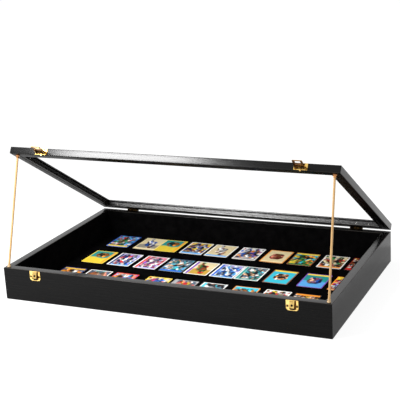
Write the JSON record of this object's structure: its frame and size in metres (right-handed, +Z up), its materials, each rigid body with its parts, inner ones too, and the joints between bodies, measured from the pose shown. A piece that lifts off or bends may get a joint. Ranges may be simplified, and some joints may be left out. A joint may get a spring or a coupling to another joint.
{
  "type": "sports card display case",
  "caption": "Shallow felt-lined wooden case with a glazed lid on butt hinges, snap hasps at the front and loose prop rods that hold the lid open.",
  "frame": {"origin": "middle of the case's underside", "axes": "+X to the right along the long side, +Y from the front to the hinges, +Z up"},
  "size_m": [0.818, 0.5155, 0.3724],
  "materials": {
    "paint": "black satin paint",
    "panel": "black board",
    "felt": "short black pile",
    "brass": "polished",
    "steel": "bright",
    "pane": "clear",
    "dowel": "bare, sanded",
    "copper": "copper plated",
    "foot": "stained"
  },
  "bodies": {
    "base": {"front_wall": "paint", "right_wall": "paint", "back_wall": "paint", "left_wall": "paint", "bottom_panel": "panel", "felt_floor_pad": "felt", "felt_wall_lining": "felt", "catch_plate_left": "brass", "catch_plate_right": "brass", "catch_nail_1": "brass", "catch_nail_2": "brass", "catch_nail_3": "brass", "catch_nail_4": "brass", "hinge_base_leaf_left": "brass", "hinge_base_leaf_right": "brass", "hinge_base_screw_1": "brass", "hinge_base_screw_2": "brass", "hinge_base_screw_3": "brass", "hinge_base_screw_4": "brass"},
    "hinge_pins": {"hinge_pin_left": "steel", "hinge_pin_right": "steel"},
    "lid": {"lid_front_rail": "paint", "lid_right_rail": "paint", "lid_back_rail": "paint", "lid_left_rail": "paint", "bead_front": "paint", "bead_right": "paint", "bead_back": "paint", "bead_left": "paint", "lid_pane": "pane", "bead_brad_1": "steel", "bead_brad_2": "steel", "bead_brad_3": "steel", "bead_brad_4": "steel", "bead_brad_5": "steel", "bead_brad_6": "steel", "bead_brad_7": "steel", "bead_brad_8": "steel", "hinge_lid_leaf_left": "brass", "hinge_lid_leaf_right": "brass", "hinge_lid_screw_1": "brass", "hinge_lid_screw_2": "brass", "hinge_lid_screw_3": "brass", "hinge_lid_screw_4": "brass", "hasp_plate_left": "brass", "hasp_plate_right": "brass", "hasp_pin_left": "steel", "hasp_pin_right": "steel", "hasp_nail_1": "brass", "hasp_nail_2": "brass", "hasp_nail_3": "brass", "hasp_nail_4": "brass"},
    "hasp_left": {"hasp_left": "brass"},
    "prop_left": {"prop_rod_left": "dowel", "prop_foot_left": "foot", "prop_cap_left": "copper"},
    "hasp_right": {"hasp_right": "brass"},
    "prop_right": {"prop_rod_right": "dowel", "prop_foot_right": "foot", "prop_cap_right": "copper"}
  },
  "joints": [
    {"name": "lid_close", "type": "hinge", "parent": "base", "child": "hinge_pins", "pos_m": [0, 0.2528, 0.0806], "axis": [-1, 0, 0], "range_deg": [-31.5, 0]},
    {"name": "lid_open_wide", "type": "hinge", "parent": "hinge_pins", "child": "lid", "pos_m": [0, 0.2528, 0.0806], "axis": [-1, 0, 0], "range_deg": [0, 148.5]},
    {"name": "hasp_left_swing", "type": "hinge", "parent": "lid", "child": "hasp_left", "pos_m": [-0.321, -0.1777, 0.35168], "axis": [1, 0, 0], "range_deg": [-87, 104.14]},
    {"name": "hasp_right_swing", "type": "hinge", "parent": "lid", "child": "hasp_right", "pos_m": [0.321, -0.1777, 0.35168], "axis": [1, 0, 0], "range_deg": [-81, 110.14]},
    {"name": "prop_left_tip", "type": "hinge", "parent": "base", "child": "prop_left", "pos_m": [-0.3995, -0.253, 0.01297], "axis": [1, 0, 0], "range_deg": [0, 106.37]},
    {"name": "prop_right_tip", "type": "hinge", "parent": "base", "child": "prop_right", "pos_m": [0.3995, -0.253, 0.01297], "axis": [1, 0, 0], "range_deg": [0, 106.37]}
  ],
  "couplings": [
    {"joint": "prop_left_tip", "follows": "lid_close", "ratio": -3.3767},
    {"joint": "prop_right_tip", "follows": "lid_close", "ratio": -3.3767}
  ]
}
